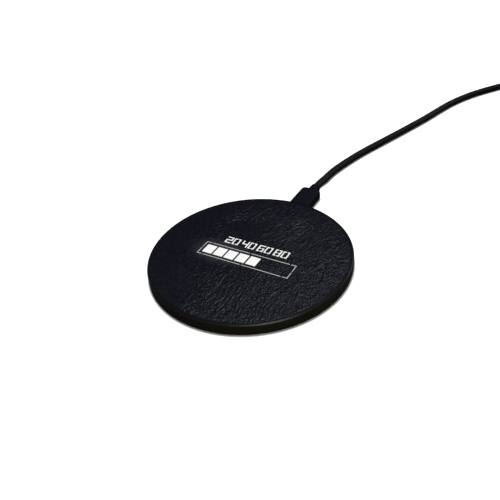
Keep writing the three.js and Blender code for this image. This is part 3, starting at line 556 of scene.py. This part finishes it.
def coil_heights():
    """Each coil point's height, resting on the turns under it."""
    count = round(COIL_TURNS * COIL_STEPS) + 1
    before = round(0.2 * COIL_STEPS)
    heights = {-i: CORD_Z for i in range(1, before)}
    for i in range(count):
        here = coil_radius(i / COIL_STEPS)
        height = COIL_Z
        for under in range(i - COIL_STEPS, -before, -COIL_STEPS):
            apart = abs(here - coil_radius(under / COIL_STEPS))
            if apart < CORD_DIAMETER:
                height = max(height, heights[under] + math.sqrt(CORD_DIAMETER**2 - apart**2))
        heights[i] = height
    raw = [heights[i] for i in range(count)]
    bridged = [max(raw[max(i - 1, 0):i + 2]) if i > 3 * COIL_STEPS else raw[i] for i in range(count)]
    soft = [(bridged[max(i - 1, 0)] + 2 * h + bridged[min(i + 1, count - 1)]) / 4 for i, h in enumerate(bridged)]
    return soft


def coil_points():
    points = []
    for i, height in enumerate(coil_heights()):
        turns = i / COIL_STEPS
        angle = COIL_ENTRY - turns * math.tau
        radius = coil_radius(turns)
        points.append(COIL_CENTRE + Vector((radius * math.cos(angle), radius * math.sin(angle), height)))
    return points


def add_cord():
    points = [Vector(p) for p in CORD_ROUTE] + coil_points() + [Vector(p) for p in TAIL_ROUTE]
    curve = bpy.data.curves.new("cable_cord", "CURVE")
    curve.dimensions = "3D"
    curve.bevel_depth = CORD_DIAMETER / 2
    curve.bevel_resolution = 6
    curve.resolution_u = 5
    curve.use_fill_caps = True
    spline = curve.splines.new("BEZIER")
    spline.bezier_points.add(len(points) - 1)
    for knot, point in zip(spline.bezier_points, points):
        knot.co = point
        knot.handle_left_type = knot.handle_right_type = "AUTO"
    cord = bpy.data.objects.new("cable_cord", curve)
    bpy.context.scene.collection.objects.link(cord)
    return declare(cord, "cable", "cord_jacket", ("cord", "cord_coil", "cord_tail"))


# The pieces on the cord


def grip(width, thickness, length, shoulder, neck, edge, corner):
    """A moulded grip along +Y: a square front with softened edges, and shoulders that run down to a neck."""
    rings = []
    front = [edge * 0.35 * (1 - math.cos(math.radians(a))) for a in range(0, 91, 15)]
    for y in front:
        inset = edge * 0.35 - math.sqrt(max((edge * 0.35) ** 2 - (edge * 0.35 - y) ** 2, 0))
        rings.append(section_xz(width - 2 * inset, thickness - 2 * inset, corner, y))
    body = length - shoulder
    for share in (0.06, 0.25, 0.5, 0.75, 0.94):
        y = front[-1] + (body - front[-1]) * share
        rings.append(section_xz(width, thickness, corner, y))
    steps = 18
    w = width / 2
    for step in range(steps + 1):
        t = step / steps
        y = body * (1 - t) ** 3 + 3 * (length - shoulder / 5) * t * (1 - t) ** 2 + length * (3 * t * t - 2 * t**3)
        half = w * (1 - t) ** 3 + 3 * w * t * (1 - t) ** 2
        half += 3 * (neck + (w - neck) * 0.62) * t * t * (1 - t) + neck * t**3
        drop = max(0.0, (y - (length - edge)) / edge)
        inset = edge * (1 - math.sqrt(max(1 - drop * drop, 0)))
        rings.append(section_xz(2 * half, thickness - 2 * inset, corner, y))
    return lofted(rings)


def relief(length, thick, thin, ribs, groove):
    """A ribbed, tapered sleeve along +Y."""
    pitch = length / ribs
    profile = [(0.0, 0.0)]
    radii = [0.0]
    for i in range(ribs):
        radius = thick + (thin - thick) * i / ribs
        y = i * pitch
        profile += [(radius, y), (radius, y + pitch * 0.55)]
        profile += [(radius - groove, y + pitch * 0.65), (radius - groove, y + pitch * 0.95)]
        radii += [groove * 0.4] * 4
    profile += [(thin - groove, length), (0.0, length)]
    radii += [groove * 0.8, 0.0]
    return turned_about_y(softened(profile, radii, steps=3, closed=False), 48)


def add_pad_plug():
    low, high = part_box("plug_overmould")
    size = high - low
    at = Vector(((low.x + high.x) / 2, low.y, (low.z + high.z) / 2))
    shape = grip(size.x, size.z, size.y, 2.2 * MM, 2.85 * MM, 0.75 * MM, 1.5 * MM)
    grip_piece = add_piece("plug_grip", moved(shape, at), "cable", "plug_moulding", ["plug_overmould"])
    low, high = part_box("plug_strain_relief")
    at.y = low.y
    sleeve = relief(high.y - low.y, 2.85 * MM, 2.7 * MM, 3, 0.22 * MM)
    relief_piece = add_piece(
        "plug_relief_sleeve", moved(sleeve, at), "cable", "plug_moulding", ["plug_strain_relief"]
    )
    return [grip_piece, relief_piece, NODES["plug_shell"], NODES["plug_insert"]]


def add_far_plug():
    low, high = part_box("far_plug_overmould")
    size = high - low
    at = Vector(((low.x + high.x) / 2, low.y, (low.z + high.z) / 2))
    shape = grip(size.x, size.z, size.y, 5 * MM, 2.8 * MM, 1.2 * MM, 1.5 * MM)
    grip_piece = add_piece("far_plug_grip", moved(shape, at), "cable", "plug_moulding", ["far_plug_overmould"])
    low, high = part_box("far_plug_strain_relief")
    sleeve = relief(high.y - low.y, 2.8 * MM, 2.425 * MM, 4, 0.3 * MM)
    at.y = low.y
    relief_piece = add_piece(
        "far_plug_relief_sleeve", moved(sleeve, at), "cable", "plug_moulding", ["far_plug_strain_relief"]
    )
    rest = [NODES[n] for n in sorted(NODES) if n.startswith(("far_plug_shell", "far_plug_ins", "far_plug_con"))]
    return [grip_piece, relief_piece, *rest]


def add_tie():
    """A hook-and-loop strap round the coil's turns, with its free end lapped over the outer side."""
    angle = math.radians(235)
    thickness, width, gap = 0.4 * MM, 5 * MM, 0.05 * MM
    reach = CORD_DIAMETER / 2 + gap
    nested = CORD_DIAMETER * math.sqrt(3) / 2
    centres = [(18.0 * MM, COIL_Z), (26.2 * MM, COIL_Z), (24.15 * MM, COIL_Z + nested), (20.05 * MM, COIL_Z + nested)]
    path = []
    for i, centre in enumerate(centres):
        before, after = Vector(centres[i - 1]), Vector(centres[(i + 1) % 4])
        here = Vector(centre)
        first = math.atan2(*(here - before)) * -1
        last = math.atan2(*(after - here)) * -1
        while last < first:
            last += math.tau
        for step in range(9):
            a = first + (last - first) * step / 8
            path.append((here, Vector((math.cos(a), math.sin(a)))))
    rings = [strap_ring(here, out, reach, thickness, width) for here, out in path]
    loop = lofted(rings, ends=False)
    lap = [strap_ring(here, out, reach + thickness + gap, thickness, width * 0.98) for here, out in path[12:26]]
    tab = lofted(lap)
    offset = len(loop[0])
    vertices = loop[0] + tab[0]
    faces = loop[1] + [tuple(i + offset for i in face) for face in tab[1]]
    shape = moved((vertices, faces), COIL_CENTRE, angle)
    return add_piece("cord_tie", shape, "cable", "tie_strap", ["cable_tie"])


def strap_ring(here, out, reach, thickness, width):
    """The strap's rounded section where its path meets out, in the coil's (radius, tangent, height) frame."""
    corner = thickness * 0.45
    ring = []
    for x, _, z in section_xz(width, thickness, corner, 0, steps=3):
        flat = here + out * (reach + thickness / 2 + z)
        ring.append((flat.x, x, flat.y))
    return ring


# The pad


def add_rim():
    low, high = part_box("rim_frame")
    outer = high.x
    wall = outer - 1.4 * MM
    flange = wall - 1.2 * MM
    flange_low, flange_high = 1.35 * MM, 4.7 * MM
    chamfer, foot = 0.6 * MM, 0.2 * MM
    corners = [
        (outer - foot, low.z, 0.06), (outer, low.z + foot, 0.15), (outer, high.z - chamfer, 0.16),
        (outer - chamfer, high.z, 0.12), (wall, high.z, 0.1), (wall, flange_high, 0.05),
        (flange, flange_high, 0.05), (flange, flange_low, 0.05), (wall, flange_low, 0.05), (wall, low.z, 0.1),
    ]
    profile = softened([(r, z) for r, z, _ in corners], [soft * MM for _, _, soft in corners])
    rim = add_piece("rim_ring", turned(profile, FINE), "pad", "rim", ["rim_frame"])
    port_low, port_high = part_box("port_shell")
    mouth_width = 9.54 * MM
    mouth_height = port_high.z - port_low.z + 0.6 * MM
    rings = [
        section_xz(mouth_width, mouth_height, mouth_height / 2, y, steps=10)
        for y in (outer - 6 * MM, outer + 2 * MM)
    ]
    vertices, faces = moved(lofted(rings), Vector((PORT_X, 0, PORT_Z)))
    cut_through(rim, vertices, faces)
    return rim


def cut_through(piece, vertices, faces):
    """Cuts the solid out of a piece."""
    mesh = bpy.data.meshes.new("cutter")
    mesh.from_pydata(vertices, [], faces)
    cutter = bpy.data.objects.new("cutter", mesh)
    bpy.context.scene.collection.objects.link(cutter)
    cut = piece.modifiers.new("cut", "BOOLEAN")
    cut.operation = "DIFFERENCE"
    cut.solver = "EXACT"
    cut.object = cutter
    graph = bpy.context.evaluated_depsgraph_get()
    result = bpy.data.meshes.new_from_object(piece.evaluated_get(graph), depsgraph=graph)
    piece.modifiers.clear()
    piece.data = result
    bpy.data.objects.remove(cutter)
    result.set_sharp_from_angle(angle=math.radians(30))


def mark_outlines():
    """The outlines of the lens's raised marks, seen from above, with rounded corners: loops of (x, y)."""
    bm = bmesh.new()
    bm.from_mesh(NODES["display_lens"].data)
    bmesh.ops.remove_doubles(bm, verts=bm.verts, dist=1e-6)
    top = max(v.co.z for v in bm.verts)
    low = [f for f in bm.faces if f.calc_center_median().z < top - 0.01 * MM]
    bmesh.ops.delete(bm, geom=low, context="FACES")
    bmesh.ops.dissolve_limit(bm, angle_limit=0.01, verts=bm.verts[:], edges=bm.edges[:])
    outlines = []
    for face in bm.faces:
        corners = [v.co.xy.copy() for v in face.verts]
        if face.normal.z < 0:
            corners.reverse()
        outlines.append(softened(corners, 0.12 * MM, steps=4))
    bm.free()
    return outlines


def grown(outline, by):
    """The outline, anticlockwise, moved outwards."""
    count = len(outline)
    moved_points = []
    for i, point in enumerate(outline):
        along = (outline[(i + 1) % count] - outline[i - 1]).normalized()
        moved_points.append(point + Vector((along.y, -along.x)) * by)
    return moved_points


def filled(points, loops):
    """A triangulation of points in millimetres, with the loops as edges: (points, triangles)."""
    every = list(points)
    edges = []
    for loop in loops:
        start = len(every)
        every += loop
        edges += [(start + i, start + (i + 1) % len(loop)) for i in range(len(loop))]
    out_points, _, triangles, _, _, _ = geometry.delaunay_2d_cdt(every, edges, [], 0, 1e-5)
    return out_points, triangles


def add_marks(outlines):
    """The lit marks: the lens's raised faces, with softened top edges, on one thin plate under the leather."""
    low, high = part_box("leather_cover")
    face = high.z + 0.01 * MM
    edge = 0.03 * MM
    vertices, faces, glow = [], [], []
    for outline in outlines:
        levels = [(0, low.z), (0, face - edge), (0.3, face - edge * 0.3), (1, face)]
        rings = [[(*p, z) for p in grown(outline, -inset * edge)] for inset, z in levels]
        start = len(vertices)
        more, sides = lofted(rings)
        vertices += more
        faces += [tuple(start + i for i in side) for side in sides]
        glow += [LINE_GLOW if mean_width(outline) < 0.5 * MM else 1.0] * len(more)
    display = add_piece("lit_display", (vertices, faces), "pad", "lit_marks", ["display_lens"], sharp=50)
    display.data.attributes.new(GLOW, "FLOAT", "POINT").data.foreach_set("value", glow)
    return display


def mean_width(outline):
    """How wide the strokes of a closed outline are."""
    area = sum(a.cross(b) for a, b in zip([outline[-1], *outline], outline)) / 2
    around = sum((b - a).length for a, b in zip([outline[-1], *outline], outline))
    return 2 * abs(area) / around


def ridge(x, y, seed):
    """From 0 to 1, with a narrow crest wherever the noise changes sign."""
    return max(0.0, 1 - abs(noise.noise(Vector((x, y, seed)))) * 4.5)


def wrinkle(x, y):
    """The leather's height over its flat face at a point in millimetres: folds that run mostly along Y, and grain."""
    drift = noise.noise_vector(Vector((x, y, 3.1)) / 7) * 1.5
    across = x - 0.1 * y - 0.18 * math.hypot(y, 10) + drift.x
    along = y + drift.y
    long_folds = 0.5 + 1.6 * noise.noise(Vector((x / 9, y / 16, 6.4)))
    fold = ridge(across / 2.2, along / 15, 0.7) * min(max(long_folds, 0.0), 1.0)
    crease = ridge(across / 1.15, along / 5, 5.2)
    cross = ridge((x + 0.5 * y) / 1.3 + drift.y, (y - 0.5 * x) / 4, 7.9)
    crackle = 1 - abs(noise.noise(Vector((across / 0.75, along / 1.0, 2.3)))) * 3
    pebble = noise.noise(Vector((x / 0.6, y / 0.6, 8.8)))
    share = 0.12 + 0.88 * ease((x + 43 - 0.45 * max(-y, 0.0)) / 26)
    share *= (1.1 - 0.5 * ease((y - 29) / 13)) * (1 + 0.35 * ease((x - 2) / 20))
    patch = 1.0 + 0.7 * noise.noise(Vector((x / 12, y / 15, 4.4)))
    patch *= 1 - 0.75 * smooth_patch(x, y)
    strength = share * min(max(patch, 0.45), 1.3)
    height = 0.18 * fold**1.3 + 0.11 * crease**1.2 + 0.07 * cross**1.3 + 0.06 * crackle + 0.01 * pebble
    return strength * height - 0.09 + 0.09 * patch_crease(x + drift.x * 0.4, y + drift.y * 0.4)


def patch_crease(x, y):
    """From 0 to 1, a long crease round the left and back of the smoother area."""
    reach = math.hypot((x + 14.5) / 12, (y - 13) / 11.5)
    angle = math.degrees(math.atan2(y - 13, x + 14.5))
    ends = ease((angle - 20) / 40) if angle > 0 else ease((-angle - 140) / 25)
    return max(0.0, 1 - abs(reach - 1) * 14) * ends


def smooth_patch(x, y):
    """1 inside the smoother area above the marks' left end, falling to 0 outside it."""
    return ease((1.25 - math.hypot((x + 14.5) / 10.5, (y - 15) / 8)) / 0.35)


def add_leather(outlines):
    """The crinkled skin: a fine sheet with the marks cut out of it, rolled down at the rim and closed underneath."""
    low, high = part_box("leather_cover")
    radius, bottom, top = high.x / MM, low.z / MM, high.z / MM
    pitch = 0.36
    roll = 0.4
    holes = [[p / MM for p in grown(outline, 0.03 * MM)] for outline in outlines]
    border = circle(radius, 4 * FINE)
    inside = []
    for row in range(-int(radius / (pitch * 0.866)), int(radius / (pitch * 0.866)) + 1):
        y = row * pitch * 0.866
        shift = pitch / 2 if row % 2 else 0.0
        for column in range(-int(radius / pitch) - 1, int(radius / pitch) + 2):
            x = column * pitch + shift
            if math.hypot(x, y) < radius - roll * 1.2:
                inside.append(Vector((x, y)))
    for share in (0.05, 0.15, 0.3, 0.5, 0.75, 1.0):
        inside += circle(radius - roll * share, 4 * FINE)
    points, triangles = filled(inside, [border, *holes])
    boxes = [(min(p.x for p in h), max(p.x for p in h), min(p.y for p in h), max(p.y for p in h)) for h in holes]
    faces = [t for t in triangles if not in_hole((points[t[0]] + points[t[1]] + points[t[2]]) / 3, holes, boxes)]
    used = sorted({i for face in faces for i in face})
    number = {old: new for new, old in enumerate(used)}
    vertices = []
    for i in used:
        x, y = points[i]
        from_edge = radius - math.hypot(x, y)
        sink = 0.0
        if from_edge < roll:
            sink = roll - math.sqrt(max(roll**2 - (roll - from_edge) ** 2, 0))
        calm = ease(from_edge / 1.2) * ease(gap_to(points[i], boxes) / 0.5)
        height = top - sink * 0.6 + wrinkle(x, y) * calm
        vertices.append(Vector((x, y, height)) * MM)
    faces = [tuple(number[i] for i in face) for face in faces]
    vertices, faces = closed_below(vertices, faces, bottom * MM)
    return add_piece("leather_skin", (vertices, faces), "pad", "skin_leather", ["leather_cover"], sharp=60)


def circle(radius, count):
    return [Vector((radius * math.cos(math.tau * i / count), radius * math.sin(math.tau * i / count))) for i in range(count)]


def in_hole(point, holes, boxes):
    for hole, (x0, x1, y0, y1) in zip(holes, boxes):
        if x0 < point.x < x1 and y0 < point.y < y1 and inside_loop(point, hole):
            return True
    return False


def inside_loop(point, loop):
    odd = False
    for i, b in enumerate(loop):
        a = loop[i - 1]
        if (a.y > point.y) != (b.y > point.y) and point.x < (b.x - a.x) * (point.y - a.y) / (b.y - a.y) + a.x:
            odd = not odd
    return odd


def gap_to(point, boxes):
    """Distance to the nearest mark's box."""
    return min(math.hypot(max(x0 - point.x, 0, point.x - x1), max(y0 - point.y, 0, point.y - y1)) for x0, x1, y0, y1 in boxes)


def closed_below(vertices, faces, bottom):
    """Walls down from the sheet's free edges, and a flat underside across them."""
    count = {}
    for face in faces:
        for i, a in enumerate(face):
            b = face[(i + 1) % len(face)]
            count[a, b] = count.get((a, b), 0) + 1
    free = [(a, b) for a, b in count if (b, a) not in count]
    vertices = list(vertices)
    below = {}
    for a, _ in free:
        below[a] = len(vertices)
        vertices.append(Vector((vertices[a].x, vertices[a].y, bottom)))
    walls = [(b, a, below[a], below[b]) for a, b in free]
    flat = list(below)
    place = {a: i for i, a in enumerate(flat)}
    edges = [(place[a], place[b]) for a, b in free]
    points = [vertices[a].xy / MM for a in flat]
    _, _, triangles, origin, _, _ = geometry.delaunay_2d_cdt(points, edges, [], 2, 1e-5)
    under = [tuple(below[flat[origin[i][0]]] for i in t) for t in triangles]
    return vertices, faces + walls + under


def add_feet():
    for number in range(1, 5):
        node = f"foot_{number}"
        low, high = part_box(node)
        radius = (high.x - low.x) / 2
        height = high.z - low.z
        corners = [(0, 0.06 * MM), (radius * 0.62, 0.06 * MM), (radius * 0.7, 0), (radius, 0), (radius, height), (0, height)]
        soft = [0, 0.2 * MM, 0.1 * MM, 0.22 * MM, 0.04 * MM, 0]
        shape = turned(softened(corners, soft, closed=False), 64, closed=False)
        middle = Vector(((low.x + high.x) / 2, (low.y + high.y) / 2, low.z))
        add_piece(f"foot_pad_{number}", moved(shape, middle), "pad", "foot_rubber", [node])


def add_winding():
    """The transmitter coil's wound wire, as a flat spiral."""
    low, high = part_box("transmitter_coil")
    wire = (high.z - low.z) * 0.96
    outer, inner = high.x - wire / 2, 10 * MM + wire / 2
    turns = int((outer - inner) / (wire * 1.04))
    steps = 56
    points = []
    for i in range(turns * steps + 1):
        angle = math.tau * i / steps
        radius = outer - (outer - inner) * i / (turns * steps)
        points.append((radius * math.cos(angle), radius * math.sin(angle), (low.z + high.z) / 2))
    return add_piece("coil_winding", tube(points, wire / 2, 8), "pad", "copper", ["transmitter_coil"], sharp=60)


def soften_node(name, width):
    """Rounds a CAD node's edges as it is shown; its mesh stays as it is."""
    node = NODES[name]
    weld = node.modifiers.new("weld", "WELD")
    weld.merge_threshold = 1e-6
    edge = node.modifiers.new("edge", "BEVEL")
    edge.width = width
    edge.segments = 2
    edge.limit_method = "ANGLE"
    edge.angle_limit = math.radians(40)


# Studio


def add_floor():
    """A pale floor that runs out of sight. It looks brighter to the camera than its light on the pad would make it,
    and has a painted contact shadow where its glow is darkened near the pieces.
    """
    size = 6
    mesh = bpy.data.meshes.new("floor")
    mesh.from_pydata([(-size, -size, 0), (size, -size, 0), (size, size, 0), (-size, size, 0)], [], [(0, 1, 2, 3)])
    floor = bpy.data.objects.new("floor", mesh)
    floor.location.z = -0.02 * MM
    bpy.context.scene.collection.objects.link(floor)
    look = Look("floor", roughness=0.9, specular=0.1)
    path = look.node("ShaderNodeLightPath")
    look.color(look.mix(path.outputs["Is Camera Ray"], (0.085, 0.085, 0.085), (0.82, 0.82, 0.82)))
    # Painted contact shadow: ambient occlusion darkens the floor's glow to the camera close to the pad, plugs and
    # cord.
    contact = look.node("ShaderNodeAmbientOcclusion", samples=16)
    contact.inputs["Distance"].default_value = 1.15 * MM
    look.link(look.math("POWER", contact.outputs["AO"], 7.0), look.shader.inputs["Emission Color"])
    look.link(look.math("MULTIPLY", path.outputs["Is Camera Ray"], 0.97), look.shader.inputs["Emission Strength"])
    mesh.materials.append(look.material)


def add_lamp(name, at, aim, size, power, color=(1, 1, 1)):
    lamp = bpy.data.lights.new(name, "AREA")
    lamp.shape = "RECTANGLE"
    lamp.size, lamp.size_y = size
    lamp.energy = power
    lamp.color = color
    holder = bpy.data.objects.new(name, lamp)
    holder.location = at
    holder.rotation_mode = "QUATERNION"
    holder.rotation_quaternion = (Vector(at) - Vector(aim)).to_track_quat("Z", "Y")
    bpy.context.scene.collection.objects.link(holder)


def add_studio():
    world = bpy.data.worlds.new("studio")
    bpy.context.scene.world = world
    world.use_nodes = True
    tree = world.node_tree
    plain = tree.nodes["Background"]
    plain.inputs["Color"].default_value = (0.30, 0.38, 0.55, 1)
    plain.inputs["Strength"].default_value = 0.05
    seen = tree.nodes.new("ShaderNodeBackground")
    seen.inputs["Color"].default_value = (1, 1, 1, 1)
    path = tree.nodes.new("ShaderNodeLightPath")
    mix = tree.nodes.new("ShaderNodeMixShader")
    tree.links.new(path.outputs["Is Camera Ray"], mix.inputs[0])
    tree.links.new(plain.outputs[0], mix.inputs[1])
    tree.links.new(seen.outputs[0], mix.inputs[2])
    tree.links.new(mix.outputs[0], tree.nodes["World Output"].inputs["Surface"])
    add_lamp("key", (0.42, -0.41, 0.52), (0, 0, 0), (0.30, 0.30), 1.42)
    add_lamp("overhead", (0.05, 0.1, 1.3), (0, 0.05, 0), (1.4, 1.4), 3.0)
    add_lamp("back", (-0.065, 0.41, 0.81), (0.01, 0, 0), (0.24, 0.24), 1.12, (0.95, 0.97, 1.0))
    add_lamp("left_fill", (-0.77, 0.22, 0.24), (0, 0, 0), (0.5, 0.4), 0.3)
    add_lamp("rear_fill", (0.42, 1.0, 0.34), (0.06, 0.18, 0), (0.6, 0.4), 1.0)
    bpy.context.scene.view_settings.view_transform = "Standard"


add_camera()
cord = add_cord()
dress_nodes()
on_cord = add_pad_plug() + [add_tie()] + add_far_plug()
add_rim()
outlines = mark_outlines()
add_marks(outlines)
add_leather(outlines)
add_feet()
add_winding()
for name in ("plug_shell", "far_plug_shell", "port_shell"):
    soften_node(name, 0.06 * MM)
add_floor()
add_studio()
